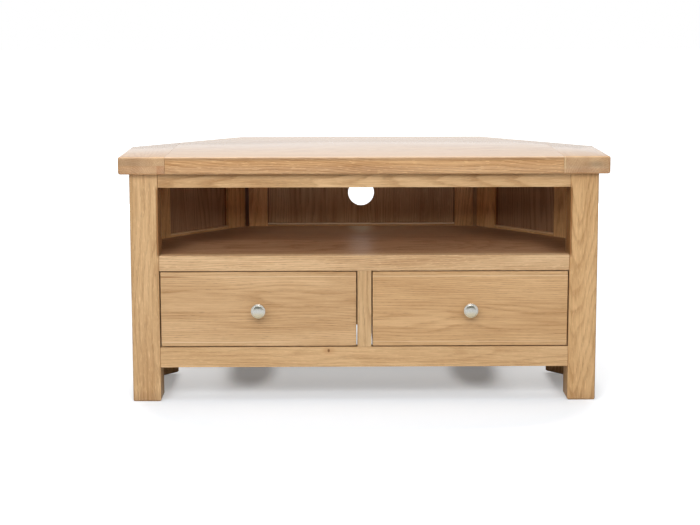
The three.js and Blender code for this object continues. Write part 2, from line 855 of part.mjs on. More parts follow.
function centreDivider() {
  const back = bodyBack - frameThick - jointGap;
  return block(-openingLeft, openingLeft, railBack, back, runnerLow - dividerDrop, shelfBottom);
}

// Single pieces

place(root, "top_board", topBoard(), oakFinish);
place(root, "front_top_rail", frontRail(topRailSpan), oakFinish);
place(root, "shelf_front_rail", shelfFrontRail(shelfRailSpan), oakFinish);
place(root, "front_bottom_rail", frontBottomRail(bottomRailSpan), oakFinish);
place(root, "centre_stile", centreStile(), oakFinish);
place(root, "shelf", shelf(), oakFinish);
place(root, "centre_divider", centreDivider(), runnerFinish);
addWall(root, backRun, {
  startStile: "back_stile_right",
  endStile: "back_stile_left",
  rebatedStart: true,
  rebatedEnd: true,
  topRail: "back_top_rail",
  lower: "back_lower_board",
  lowerTop: lowerBoardTop,
  carriesShelf: true,
  panel: "back_panel",
  cableHole: true,
});

// Paired pieces: built for the right-hand half and mirrored for the left

for (const [side, sign] of [["right", 1], ["left", -1]]) {
  const half = new THREE.Group();
  half.scale.x = sign;
  root.add(half);
  place(half, `top_end_cap_${side}`, topEndCap(), oakFinish);
  place(half, `front_leg_${side}`, frontLeg(), oakFinish);
  place(half, `corner_block_${side}`, cornerBlock(), runnerFinish);
  addWall(half, sideRun, {
    endStile: `side_stile_${side}`,
    topRail: `side_top_rail_${side}`,
    lower: `side_bottom_rail_${side}`,
    lowerTop: footHeight + wallBottomRailHeight,
    panel: `side_panel_${side}`,
  });
  addWall(half, diagonalRun, {
    startStile: `diagonal_front_stile_${side}`,
    endStile: `diagonal_rear_stile_${side}`,
    topRail: `diagonal_top_rail_${side}`,
    lower: `diagonal_lower_board_${side}`,
    lowerTop: lowerBoardTop,
    carriesShelf: true,
    panel: `diagonal_panel_${side}`,
  });
  place(half, `mid_foot_${side}`, cornerFoot(sideRun, diagonalRun), oakFinish);
  place(half, `rear_foot_${side}`, cornerFoot(diagonalRun, backRun), oakFinish);
  place(half, `outer_guide_${side}`, outerGuide(), runnerFinish);
  place(half, `outer_runner_${side}`, runner(legInner - runnerReach), runnerFinish);
  place(half, `inner_runner_${side}`, runner(openingLeft), runnerFinish);
  addDrawer(half, side);
}

export default root;
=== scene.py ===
import json
import math
import random
import bmesh
import bpy
from mathutils import Matrix, Vector

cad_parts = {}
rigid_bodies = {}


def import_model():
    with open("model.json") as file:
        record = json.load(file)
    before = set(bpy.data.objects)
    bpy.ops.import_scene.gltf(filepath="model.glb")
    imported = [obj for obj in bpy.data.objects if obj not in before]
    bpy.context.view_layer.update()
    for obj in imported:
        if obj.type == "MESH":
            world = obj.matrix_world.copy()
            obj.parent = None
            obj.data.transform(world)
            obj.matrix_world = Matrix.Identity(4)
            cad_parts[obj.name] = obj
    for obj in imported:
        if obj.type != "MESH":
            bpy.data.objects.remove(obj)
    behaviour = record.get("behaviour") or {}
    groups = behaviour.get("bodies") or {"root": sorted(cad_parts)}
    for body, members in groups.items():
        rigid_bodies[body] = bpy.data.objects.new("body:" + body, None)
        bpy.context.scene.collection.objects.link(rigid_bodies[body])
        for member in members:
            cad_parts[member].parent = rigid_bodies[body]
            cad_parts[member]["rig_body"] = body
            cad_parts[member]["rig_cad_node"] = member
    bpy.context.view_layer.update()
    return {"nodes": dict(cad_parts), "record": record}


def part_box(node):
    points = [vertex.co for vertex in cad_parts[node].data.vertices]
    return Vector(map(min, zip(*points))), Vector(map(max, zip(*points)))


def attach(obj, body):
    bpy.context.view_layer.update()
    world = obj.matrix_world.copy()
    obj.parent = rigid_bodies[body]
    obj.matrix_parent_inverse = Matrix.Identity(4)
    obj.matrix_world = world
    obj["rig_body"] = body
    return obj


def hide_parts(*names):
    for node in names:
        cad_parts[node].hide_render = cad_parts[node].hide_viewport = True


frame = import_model()
print("frame loaded,", len(frame["nodes"]), "nodes")

mm = 0.001
alongX, alongY, alongZ = Vector((1, 0, 0)), Vector((0, 1, 0)), Vector((0, 0, 1))
bodies = frame["record"]["behaviour"]["bodies"]
bodyOf = {node: body for body, members in bodies.items() for node in members}


# small helpers

def linearColour(hexCode, shade=1.0):
    # an sRGB hex value, lighter or darker by a factor, as the linear colour that a shader takes
    shares = [int(hexCode[i:i + 2], 16) / 255 for i in (1, 3, 5)]
    linear = [s / 12.92 if s <= 0.04045 else ((s + 0.055) / 1.055) ** 2.4 for s in shares]
    return (*(shade * s for s in linear), 1.0)


def addNode(tree, kind, inputs=(), **settings):
    # a node with its settings; its inputs, in order or by name, are values, nodes or sockets of nodes
    made = tree.nodes.new("ShaderNode" + kind)
    for setting, value in settings.items():
        setattr(made, setting, value)
    named = inputs if isinstance(inputs, dict) else dict(enumerate(inputs))
    for key, value in named.items():
        if isinstance(value, bpy.types.Node):
            value = next(socket for socket in value.outputs if socket.enabled)
        if isinstance(value, bpy.types.NodeSocket):
            tree.links.new(value, made.inputs[key])
        else:
            made.inputs[key].default_value = value
    return made


def emptyMaterial(name):
    made = bpy.data.materials.new(name)
    made.use_nodes = True
    made.node_tree.nodes.clear()
    return made


def pickOnly(piece):
    bpy.ops.object.select_all(action="DESELECT")
    piece.select_set(True)
    bpy.context.view_layer.objects.active = piece


# camera, lamps, world and floor

studio = {
    "lensMm": 74.03,
    "sensorMm": 36,
    "cameraPlace": (-0.0579, -3.1065, 0.8295),
    "lookDownDeg": 7.125,
    "turnDeg": -0.559,
    "rollDeg": -0.070,
    "shiftUp": -0.12,           # share of the image width
    "clip": (0.05, 200),
    "skyForWood": 0.175,        # light of the white room on the object; the camera sees it at 1
    "lamps": {
        "overheadSoftbox": {"place": (-0.2, -0.5, 2.7), "target": (0, 0, 0), "size": (2.0, 1.6),
                            "watts": 30.5, "mirrored": True},
        "frontSoftbox": {"place": (-0.4, -3.1, 2.10), "target": (0, -0.15, 0.3), "size": (4.4, 1.7),
                         "watts": 104, "mirrored": False},
        "backSoftbox": {"place": (0, 2.7, 0.37), "target": (0, 0, 0.3), "size": (4.4, 0.7),
                        "watts": 26, "mirrored": False},
    },
    "cardPlace": (0, -4.6, 2.5),    # painted dark reflection: a sheet behind the camera, standing for the dark part of the room, which only the knobs mirror
    "cardSize": (9.0, 4.0),
    "cardGrey": "#7C7E78",
    "cardMottle": 60,                # patches in a metre, as coarse as the knobs blur it
    "cardShades": (0.8, 1.2),
    "floorSize": 40,
    "floorWhite": "#DDE2E8",        # a little blue against the warm light that the oak throws on it
    "floorForWood": "#D4D4D4",      # the floor's white as the object is lit by it
}

glow = {
    "footprint": (0.50, 0.44),      # half of the rounded oblong round the object
    "squareness": 4.0,
    "footShadowAt": (0.248, 0.045),       # where the painted shadow of a rear foot lies on the floor, and how far round it
    "footShadowReach": (0.053, 0.125),
    # painted light and painted shadow that the camera sees added to the lit floor: how much, and between
    # which values it comes up
    "parts": [
        (0.25, []),                 # everywhere
        (0.60, [("away", 1.0, 4.0)]),
        # painted light under the object, standing for the light from behind, and outside its footprint
        (0.18, [("back", -0.14, 0.03), ("oblong", 1.3, 0.6)]),
        (0.38, [("oblong", 0.6, 1.3)]),
        # painted shadow of the rear feet, and painted light from there to the legs
        (-0.25, [("foot", 1.4, 0.5)]),
        (0.12, [("sideways", 0.27, 0.35), ("back", -0.20, -0.08), ("oblong", 1.3, 0.6)]),
        # painted light behind the front rail, and painted shadow along the inner sides of the legs
        (0.06, [("back", -0.19, -0.155), ("back", -0.08, -0.14), ("oblong", 1.3, 0.6)]),
        (-0.30, [("sideways", 0.396, 0.42), ("sideways", 0.475, 0.45),
                 ("back", -0.25, 0.03), ("back", 0.034, 0.020)]),
    ],
}


def makeCamera():
    data = bpy.data.cameras.new("camera")
    data.lens = studio["lensMm"]
    data.sensor_width = studio["sensorMm"]
    data.shift_y = studio["shiftUp"]
    data.clip_start, data.clip_end = studio["clip"]
    camera = bpy.data.objects.new("camera", data)
    bpy.context.scene.collection.objects.link(camera)
    turn = Matrix.Rotation(math.radians(studio["turnDeg"]), 4, "Z")
    look = Matrix.Rotation(math.radians(90 - studio["lookDownDeg"]), 4, "X")
    roll = Matrix.Rotation(math.radians(studio["rollDeg"]), 4, "Z")
    camera.matrix_world = Matrix.Translation(studio["cameraPlace"]) @ turn @ look @ roll
    bpy.context.scene.camera = camera


def makeLamp(name, softbox):
    data = bpy.data.lights.new(name, "AREA")
    data.shape = "RECTANGLE"
    data.size, data.size_y = softbox["size"]
    data.energy = softbox["watts"]
    lamp = bpy.data.objects.new(name, data)
    lamp.visible_camera = False
    lamp.visible_glossy = softbox["mirrored"]
    bpy.context.scene.collection.objects.link(lamp)
    lamp.location = softbox["place"]
    ahead = Vector(softbox["target"]) - Vector(softbox["place"])
    lamp.rotation_euler = ahead.to_track_quat("-Z", "Y").to_euler()


def seenDirectly(tree):
    # 1 for what the camera, a mirror or a glass sees, 0 for light that falls on the object
    path = addNode(tree, "LightPath").outputs
    either = addNode(tree, "Math", [path["Is Camera Ray"], path["Is Glossy Ray"]], operation="MAXIMUM")
    return addNode(tree, "Math", [either, path["Is Transmission Ray"]], operation="MAXIMUM")


def makeWorld():
    world = bpy.data.worlds.new("whiteRoom")
    world.use_nodes = True
    tree = world.node_tree
    tree.nodes.clear()
    roomLight = addNode(tree, "Background", {"Color": (1, 1, 1, 1), "Strength": studio["skyForWood"]})
    roomWhite = addNode(tree, "Background", {"Color": (1, 1, 1, 1), "Strength": 1})
    mixed = addNode(tree, "MixShader", [seenDirectly(tree), roomLight, roomWhite])
    addNode(tree, "OutputWorld", {"Surface": mixed})
    bpy.context.scene.world = world


def makeFloor():
    # white painted studio floor: matt, its lit part as white as the room, the shadow kept, with painted light
    # and painted shadows added for the camera
    bpy.ops.mesh.primitive_plane_add(size=studio["floorSize"], location=(0, 0, 0))
    floor = bpy.context.object
    floor.name = "studio_floor"
    paint = emptyMaterial("whiteFloorPaint")
    tree = paint.node_tree
    place = addNode(tree, "TexCoord").outputs["Object"]
    across, back = addNode(tree, "SeparateXYZ", [place]).outputs[:2]
    sideways = addNode(tree, "Math", [across], operation="ABSOLUTE")
    away = addNode(tree, "VectorMath", [place], operation="LENGTH")
    measures = {"away": away, "sideways": sideways, "back": back}
    for measure, middle, reach, power in (("oblong", (0, 0), glow["footprint"], glow["squareness"]),
                                          ("foot", glow["footShadowAt"], glow["footShadowReach"], 2.0)):
        powers = []
        for value, at, half in zip((sideways, back), middle, reach):
            off = addNode(tree, "Math", [value, at], operation="SUBTRACT")
            share = addNode(tree, "Math", [off, half], operation="DIVIDE")
            share = addNode(tree, "Math", [share], operation="ABSOLUTE")
            powers.append(addNode(tree, "Math", [share, power], operation="POWER"))
        measures[measure] = addNode(tree, "Math", powers, operation="ADD")
    measures["foot"] = addNode(tree, "Math", [measures["foot"]], operation="SQRT")
    added = 0.0
    for amount, limits in glow["parts"]:
        for measure, start, full in limits:
            rise = addNode(tree, "MapRange", [measures[measure], start, full],
                           interpolation_type="SMOOTHSTEP")
            amount = addNode(tree, "Math", [amount, rise], operation="MULTIPLY")
        added = addNode(tree, "Math", [added, amount], operation="ADD")
    forCamera = addNode(tree, "LightPath").outputs["Is Camera Ray"]
    seen = addNode(tree, "Math", [added, forCamera], operation="MULTIPLY")
    white = addNode(tree, "Mix", {"Factor": seenDirectly(tree), 6: linearColour(studio["floorForWood"]),
                                  7: linearColour(studio["floorWhite"])}, data_type="RGBA")
    matt = addNode(tree, "BsdfDiffuse", {"Color": white})
    lit = addNode(tree, "Emission", {"Color": (1, 1, 1, 1), "Strength": seen})
    addNode(tree, "OutputMaterial", {"Surface": addNode(tree, "AddShader", [matt, lit])})
    floor.data.materials.append(paint)


def makeCard():
    # a dark sheet seen only in mirrors, a painted reflection; its soft unevenness gives the knobs their dark
    # arc
    bpy.ops.mesh.primitive_plane_add(size=1, location=studio["cardPlace"], rotation=(math.pi / 2, 0, 0))
    card = bpy.context.object
    card.name = "studio_dark_card"
    card.scale = (*studio["cardSize"], 1)
    darkSheet = emptyMaterial("mirroredDarkSheet")
    tree = darkSheet.node_tree
    place = addNode(tree, "TexCoord").outputs["Object"]
    sheetMottle = addNode(tree, "TexNoise", {"Vector": place, "Scale": studio["cardMottle"]})
    darker, lighter = [linearColour(studio["cardGrey"], shade) for shade in studio["cardShades"]]
    dyed = addNode(tree, "Mix", {"Factor": sheetMottle, 6: darker, 7: lighter}, data_type="RGBA")
    lit = addNode(tree, "Emission", {"Color": dyed, "Strength": 1.0})
    addNode(tree, "OutputMaterial", {"Surface": lit})
    card.data.materials.append(darkSheet)
    for kind in ("camera", "diffuse", "transmission", "shadow", "volume_scatter"):
        setattr(card, "visible_" + kind, False)


bpy.context.scene.view_settings.view_transform = "Standard"
bpy.ops.object.select_all(action="DESELECT")
makeCamera()
for lampName, softbox in studio["lamps"].items():
    makeLamp(lampName, softbox)
makeWorld()
makeFloor()
makeCard()
print("studio set")


# the figure of wood, as a log has it: rings round a pith line, early-wood pores, fibre and rays

figure = {
    "ringMm": 3.4,                  # one year's growth
    "ringUneven": 3.4,              # years wide and narrow, in rings
    "unevenMm": 30,
    "unevenDetail": 2.0,
    "lateRise": (0.0, 0.55),        # within a year, early wood turns to late wood and ends
    "lateEnd": (1.0, 0.86),
    "patches": {                    # how long and wide in mm, and how much detail
        "wander": (480, 85, 2.0),
        "ripple": (75, 12, 2.0),
        "broad": (380, 34, 3.0),    # broad change of tone along the board
        "fibre": (95, 2.6, 3.0),    # really about 0.3 mm wide; drawn coarse enough to show
        "pore": (17, 0.9, 1.0),     # really about 0.3 mm wide; drawn coarse enough to show
    },
    "patchRoughness": 0.55,
    "wanderMm": 28,                 # how far the rings swing over
    "rippleMm": 1.6,
    "poreShare": (0.56, 0.66),
    "poresGone": 0.75,              # how much fewer they are in late wood
    "rayHighMm": 15,
    "rayDeepMm": 11,
    "rayThickMm": 1.2,
    "rayRadiusMm": 110,             # where the ray thickness is true
    "rayDetail": 1.0,
    "rayShare": (0.60, 0.68),
    "lateMean": 0.55,
    "fibreTone": 1.1,               # how much lighter or darker each makes the wood
    "rayTone": 0.5,
    "poreTone": 0.36,
    "roughness": 0.37,
    "poreRoughness": 0.18,
    "rayRoughness": -0.07,
    "lateHeight": 0.2,              # late wood stands out, pores lie in
}


def makeWoodFigure():
    tree = bpy.data.node_groups.new("woodFigure", "ShaderNodeTree")
    sockets = {"INPUT": {"Place": "Vector", "Light": "Color", "Dark": "Color",
                         "Rings": "Float", "Pores": "Float", "Rays": "Float", "Broad": "Float"},
               "OUTPUT": {"Colour": "Color", "Roughness": "Float", "Height": "Float"}}
    for way, labels in sockets.items():
        for label, kind in labels.items():
            tree.interface.new_socket(label, in_out=way, socket_type="NodeSocket" + kind)
    given = tree.nodes.new("NodeGroupInput").outputs
    place = given["Place"]

    patch = {}
    for label, (longMm, wideMm, detail) in figure["patches"].items():
        perMetre = (1 / (longMm * mm), 1 / (wideMm * mm), 1 / (wideMm * mm))
        scaled = addNode(tree, "VectorMath", [place, perMetre], operation="MULTIPLY")
        patch[label] = addNode(tree, "TexNoise", {"Vector": scaled, "Scale": 1.0, "Detail": detail,
                                                  "Roughness": figure["patchRoughness"]})
    for label in ("wander", "ripple", "broad", "fibre"):
        patch[label] = addNode(tree, "Math", [patch[label], 0.5], operation="SUBTRACT")

    # rings: the distance from the pith, swung and uneven, counted in years
    section = addNode(tree, "VectorMath", [place, (0, 1, 1)], operation="MULTIPLY")
    fromPith = addNode(tree, "VectorMath", [section], operation="LENGTH")
    radius = fromPith
    for label in ("wander", "ripple"):
        swing = figure[label + "Mm"] * mm
        radius = addNode(tree, "Math", [patch[label], swing, radius], operation="MULTIPLY_ADD")
    stretch = addNode(tree, "Math", [radius, figure["unevenMm"] * mm], operation="DIVIDE")
    uneven = addNode(tree, "TexNoise", {"W": stretch, "Scale": 1.0, "Detail": figure["unevenDetail"]},
                     noise_dimensions="1D")
    years = addNode(tree, "Math", [radius, figure["ringMm"] * mm], operation="DIVIDE")
    years = addNode(tree, "Math", [uneven, figure["ringUneven"], years], operation="MULTIPLY_ADD")
    year = addNode(tree, "Math", [years], operation="FRACT")
    rise = addNode(tree, "MapRange", [year, *figure["lateRise"]], interpolation_type="SMOOTHSTEP")
    end = addNode(tree, "MapRange", [year, *figure["lateEnd"]], interpolation_type="SMOOTHSTEP")
    late = addNode(tree, "Math", [rise, end], operation="MINIMUM")

    # pores, mostly in early wood
    pore = addNode(tree, "MapRange", [patch["pore"], *figure["poreShare"]], interpolation_type="SMOOTHSTEP")
    gone = addNode(tree, "Math", [late, figure["poresGone"]], operation="MULTIPLY")
    left = addNode(tree, "Math", [1.0, gone], operation="SUBTRACT")
    pore = addNode(tree, "Math", [pore, left], operation="MULTIPLY")
    pore = addNode(tree, "Math", [pore, given["Pores"]], operation="MULTIPLY")

    # rays: thin plates that stand out from the pith
    split = addNode(tree, "SeparateXYZ", [place]).outputs
    angle = addNode(tree, "Math", [split[1], split[2]], operation="ARCTAN2")
    around = addNode(tree, "Math", [angle, figure["rayRadiusMm"] * mm], operation="MULTIPLY")
    inRays = []
    for value, size in ((split[0], "rayHighMm"), (around, "rayThickMm"), (fromPith, "rayDeepMm")):
        inRays.append(addNode(tree, "Math", [value, figure[size] * mm], operation="DIVIDE"))
    rayPlace = addNode(tree, "CombineXYZ", inRays)
    ray = addNode(tree, "TexNoise", {"Vector": rayPlace, "Scale": 1.0, "Detail": figure["rayDetail"]})
    ray = addNode(tree, "MapRange", [ray, *figure["rayShare"]], interpolation_type="SMOOTHSTEP")
    ray = addNode(tree, "Math", [ray, given["Rays"]], operation="MULTIPLY")

    # the tone runs from the dark to the light hue, pores darken it, and all three change gloss and relief
    tone = addNode(tree, "Math", [late, figure["lateMean"]], operation="SUBTRACT")
    tone = addNode(tree, "Math", [tone, given["Rings"], 0.5], operation="MULTIPLY_ADD")
    for part, strength in ((patch["broad"], given["Broad"]), (patch["fibre"], figure["fibreTone"]),
                           (ray, figure["rayTone"])):
        tone = addNode(tree, "Math", [part, strength, tone], operation="MULTIPLY_ADD")
    tone = addNode(tree, "Clamp", [tone])
    wood = addNode(tree, "Mix", {"Factor": tone, 6: given["Dark"], 7: given["Light"]}, data_type="RGBA")
    shade = addNode(tree, "Math", [pore, figure["poreTone"]], operation="MULTIPLY")
    shade = addNode(tree, "Math", [1.0, shade], operation="SUBTRACT")
    shaded = addNode(tree, "VectorMath", {0: wood, "Scale": shade}, operation="SCALE")
    gloss = figure["roughness"]
    for part, rougher in ((ray, figure["rayRoughness"]), (pore, figure["poreRoughness"])):
        gloss = addNode(tree, "Math", [part, rougher, gloss], operation="MULTIPLY_ADD")
    height = addNode(tree, "Math", [late, figure["lateHeight"]], operation="MULTIPLY")
    height = addNode(tree, "Math", [height, pore], operation="SUBTRACT")
    out = tree.nodes.new("NodeGroupOutput")
    for label, made in (("Colour", shaded), ("Roughness", gloss), ("Height", height)):
        tree.links.new(made.outputs[0], out.inputs[label])
    return tree


woodFigure = makeWoodFigure()

# what each wood gives the eye: its light and dark, and how strongly rings, pores, rays and tones show
woods = {
    # oak sawn and planed: open pores, clear rings and pale ray flecks
    "solidOak": {"light": "#DEBA8C", "dark": "#B08659",
                 "rings": 0.34, "pores": 0.75, "rays": 0.8, "broad": 1.5},
    # the same boards inside, painted warmer for the light bounced from oak there
    "shadedOak": {"light": "#E9BA81", "dark": "#B98652",
                  "rings": 0.34, "pores": 0.75, "rays": 0.8, "broad": 1.5},
    # sliced oak: quiet rings and few flecks
    "oakVeneer": {"light": "#DBB587", "dark": "#AE8355",
                  "rings": 0.22, "pores": 0.7, "rays": 0.3, "broad": 1.2},
    # the same inside, painted warmer for the bounced light
    "shadedVeneer": {"light": "#E2B28A", "dark": "#B48158",
                     "rings": 0.3, "pores": 0.7, "rays": 0.3, "broad": 1.4},
    # ash: pale, with strong rings and no flecks
    "solidAsh": {"light": "#E6CDA6", "dark": "#C9A679",
                 "rings": 0.5, "pores": 0.5, "rays": 0.0, "broad": 1.0},
    # rotary-cut birch: pale and cloudy
    "birchPlywood": {"light": "#E0C49B", "dark": "#C5A276",
                     "rings": 0.3, "pores": 0.1, "rays": 0.0, "broad": 1.6},
    # beech: even and pinkish, with many small flecks
    "beech": {"light": "#D6AE82", "dark": "#B98A5E",
              "rings": 0.15, "pores": 0.1, "rays": 1.0, "broad": 1.0},
}
finish = {                          # satin lacquer rubbed thin: soft gloss over a little grain
    "shade": 1.0,
    "endGrain": (0.82, 0.85, 0.88),     # end grain drinks more lacquer and is darker and greyer
    "endGrainFrom": (0.7, 1.0),         # how squarely it is seen
    "relief": 0.35,
    "reliefMm": 0.25,
    "ior": 1.5,
    "shine": 0.25,
    "coat": 0.0,
    "coatRoughness": 0.15,
}
stave = {
    "shift": 0.5,                       # one stave lies along the middle of the board
    "apart": (1.7, 0.16, 0.12),         # metres in the log, at most
    "tones": (0.91, 1.06),
}


def marked(tree, colour, place, mark):
    # one patch of another hue on a board: a streak, knot, joint line or stave, soft at its edge
    turn = (0, 0, math.radians(mark.get("turn", 0)))
    share = addNode(tree, "Mapping", {"Vector": place, "Location": Vector(mark["at"]) * mm,
                                      "Rotation": turn, "Scale": Vector(mark["half"]) * mm},
                    vector_type="TEXTURE")
    if mark.get("square"):
        sides = addNode(tree, "VectorMath", [share], operation="ABSOLUTE")
        side = addNode(tree, "SeparateXYZ", [sides]).outputs
        widest = addNode(tree, "Math", [side[0], side[1]], operation="MAXIMUM")
        reach = addNode(tree, "Math", [widest, side[2]], operation="MAXIMUM")
    else:
        reach = addNode(tree, "VectorMath", [share], operation="LENGTH")
    soft = mark.get("soft", 0.3)
    inside = addNode(tree, "MapRange", {"Value": reach, "From Min": 1 + soft, "From Max": 1 - soft,
                                        "To Max": mark["strength"]}, interpolation_type="SMOOTHSTEP")
    return addNode(tree, "Mix", {"Factor": inside, 6: colour, 7: linearColour(mark["hue"])},
                   data_type="RGBA", blend_type=mark.get("blend", "MIX"))


def woodMaterial(name, wood, centre, grain, face, log):
    # grain and face give how the board was sawn; log gives its pith across and below the face in mm,
    # the slope of the pith line in degrees, and where along the log the board starts
    look = {**finish, **woods[wood], **log.get("look", {})}
    made = emptyMaterial(name)
    tree = made.node_tree
    sawn = Matrix((grain, face.cross(grain), face))
    skew = Matrix.Rotation(math.radians(log["skew"]), 3, "Z")
    slope = Matrix.Rotation(math.radians(log["slope"]), 3, "Y") @ skew
    given = addNode(tree, "TexCoord").outputs
    onBoard = addNode(tree, "Mapping", {"Vector": given["Object"], "Location": -(sawn @ centre),
                                        "Rotation": sawn.to_euler()})
    if "staveMm" in log:
        # the board is glued up from staves, each from another log
        across = addNode(tree, "SeparateXYZ", [onBoard]).outputs[1]
        perMetre = 1 / (log["staveMm"] * mm)
        count = addNode(tree, "Math", [across, perMetre, stave["shift"]], operation="MULTIPLY_ADD")
        number = addNode(tree, "Math", [count], operation="FLOOR")
        drawn = addNode(tree, "TexWhiteNoise", {"W": number}, noise_dimensions="1D").outputs
        moved = addNode(tree, "VectorMath", [drawn["Color"], stave["apart"]], operation="MULTIPLY")
        onBoard = addNode(tree, "VectorMath", [onBoard, moved], operation="ADD")
    pith = Vector((log["start"], log["across"], log["below"])) * mm
    inLog = addNode(tree, "Mapping", {"Vector": onBoard, "Location": pith, "Rotation": slope.to_euler()})
    shares = {label.capitalize(): look[label] for label in ("rings", "pores", "rays", "broad")}
    hues = {label.capitalize(): linearColour(look[label], look["shade"]) for label in ("light", "dark")}
    wooden = addNode(tree, "Group", {"Place": inLog, **hues, **shares}, node_tree=woodFigure).outputs
    facing = addNode(tree, "VectorMath", [given["Normal"], grain], operation="DOT_PRODUCT")
    facing = addNode(tree, "Math", [facing], operation="ABSOLUTE")
    endOn = addNode(tree, "MapRange", [facing, *look["endGrainFrom"]])
    soaked = addNode(tree, "VectorMath", [wooden["Colour"], look["endGrain"]], operation="MULTIPLY")
    colour = addNode(tree, "Mix", {"Factor": endOn, 6: wooden["Colour"], 7: soaked}, data_type="RGBA")
    if "staveMm" in log:
        darkest, lightest = stave["tones"]
        tone = addNode(tree, "MapRange", {"Value": drawn["Value"], "To Min": darkest, "To Max": lightest})
        colour = addNode(tree, "VectorMath", {0: colour, "Scale": tone}, operation="SCALE")
    for mark in log.get("marks", ()):
        colour = marked(tree, colour, given["Object"], mark)
    bump = addNode(tree, "Bump", {"Height": wooden["Height"], "Strength": look["relief"],
                                  "Distance": look["reliefMm"] * mm})
    shader = addNode(tree, "BsdfPrincipled", {
        "Base Color": colour, "Roughness": wooden["Roughness"], "Normal": bump,
        "IOR": look["ior"], "Specular IOR Level": look["shine"],
        "Coat Weight": look["coat"], "Coat Roughness": look["coatRoughness"]})
    addNode(tree, "OutputMaterial", {"Surface": shader})
    return made


# boards: each is a copy of the sawn board with its long outer edges eased

easing = {
    "weldMm": 0.01,
    "flatDeg": 0.5,
    "sharpDeg": 40,
    "shortestMm": 12,           # edges shorter than this stay as sawn
    "steps": 2,
}
guess = {                       # how a board lay in its log, where nothing is said of it: from, to
    "across": (-60, 60),
    "below": (40, 130),
    "slope": (-2.5, 2.5),
    "skew": (-1.5, 1.5),
    "start": (-900, 900),
}


def easedBoard(node, wide):
    piece = frame["nodes"][node].copy()
    piece.data = piece.data.copy()
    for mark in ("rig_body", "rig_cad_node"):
        del piece[mark]
    piece.parent = None
    piece.name = node + "_eased"
    bpy.context.scene.collection.objects.link(piece)
    pickOnly(piece)
    bpy.ops.mesh.customdata_custom_splitnormals_clear()
    bpy.ops.object.mode_set(mode="EDIT")
    bpy.ops.mesh.select_all(action="SELECT")
    bpy.ops.mesh.remove_doubles(threshold=easing["weldMm"] * mm)
    bpy.ops.mesh.dissolve_limited(angle_limit=math.radians(easing["flatDeg"]))
    bpy.ops.object.mode_set(mode="OBJECT")
    bpy.ops.object.shade_smooth_by_angle(angle=math.radians(easing["sharpDeg"]))
    shape = bmesh.new()
    shape.from_mesh(piece.data)
    weight = shape.edges.layers.float.new("bevel_weight_edge")
    for edge in shape.edges:
        if len(edge.link_faces) == 2 and edge.calc_length() > easing["shortestMm"] * mm:
            if edge.calc_face_angle_signed() > math.radians(easing["sharpDeg"]):
                edge[weight] = 1
    shape.to_mesh(piece.data)
    shape.free()
    ease = piece.modifiers.new("ease", "BEVEL")
    ease.limit_method = "WEIGHT"
    ease.width = wide * mm
    ease.segments = easing["steps"]
    ease.harden_normals = True
    bpy.ops.object.modifier_apply(modifier="ease")
    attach(piece, bodyOf[node])
    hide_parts(node)
    return piece


def middleOf(node):
    low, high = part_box(node)
    return (low + high) / 2


def boxMm(node):
    low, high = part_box(node)
    return low / mm, high / mm


def board(node, wood, grain, face, wide=0.8, **log):
    drawn = random.Random(node)                 # boards that nothing is said of differ by their names
    saw = {key: drawn.uniform(*limits) for key, limits in guess.items()}
    saw.update(log)
    piece = easedBoard(node, wide)
    grain, face = grain.normalized(), face.normalized()
    piece.data.materials.clear()
    piece.data.materials.append(woodMaterial(wood + "_" + node, wood, middleOf(node), grain, face, saw))
    return piece


# marks are placed in the object's own millimetres; one that runs right across its board is this long
endless = 999

# the top: painted light at the back and towards the front, a painted highlight along the front arris over a
# darker line, and a quieter figure where the lacquer lies flat
topLacquer = {"coat": 1.0, "shine": 0.08, "relief": 0.0, "light": "#E0B482", "dark": "#B38354", "rays": 1.0}
capLacquer = dict(topLacquer, rings=0.28, rays=0.3, pores=0.4, endGrain=(0.84, 0.93, 1.10))
low, high = boxMm("top_board")
arris = {"at": (0, low.y + 2.3, high.z - 1.5), "half": (600, 3.5, 2.4),
         "hue": "#FFE0BA", "strength": 0.22, "soft": 0.4}
underArris = {"at": (0, low.y, high.z - 4.7), "half": (600, 6, 3.4),
              "hue": "#D2D2D8", "strength": 0.85, "soft": 0.5, "blend": "MULTIPLY"}
rearPaintedLight = {"at": (0, high.y + 20, high.z), "half": (endless, 118, 20),
         "hue": "#FFCC96", "strength": 0.65, "soft": 0.9}
frontPaintedLight = {"at": (120, low.y + 20, high.z + 2), "half": (700, 110, 3),
        "hue": "#FFE6D2", "strength": 0.36, "soft": 0.9}
quiet = {"at": (0, 0, high.z), "half": (endless, endless, 1),
         "hue": "#CB9E6E", "strength": 0.35, "square": True, "soft": 0.5}
board("top_board", "solidOak", alongX, alongZ, look=topLacquer, staveMm=108, across=20, below=90,
      marks=[quiet, arris, rearPaintedLight, frontPaintedLight, underArris])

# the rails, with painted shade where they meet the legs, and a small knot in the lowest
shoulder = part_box("front_leg_right")[0].x / mm
railEndShade = {"half": (1.4, endless, endless), "hue": "#7A5028", "strength": 0.6, "square": True}
railEndShades = [dict(railEndShade, at=(end, 0, 0)) for end in (-shoulder - 0.6, shoulder + 0.6)]
streak = {"hue": "#966A3A", "soft": 0.8}
low, high = boxMm("front_top_rail")
board("front_top_rail", "solidOak", alongX, -alongY, slope=1.6, below=70, across=8, marks=railEndShades + [
    dict(streak, at=(-250, low.y, high.z - 3), half=(170, 8, 2.5), strength=0.55),
    dict(streak, at=(215, low.y, high.z - 4), half=(120, 8, 2.2), strength=0.45)])
paleOak = {"light": "#DEBC92", "dark": "#B0875D"}
board("shelf_front_rail", "solidOak", alongX, -alongY, look=paleOak, marks=railEndShades)
low, high = boxMm("front_bottom_rail")
knotAt = (-74, low.y, high.z - 7.5)
calmOak = {"rings": 0.18, "broad": 1.0, "pores": 0.5}
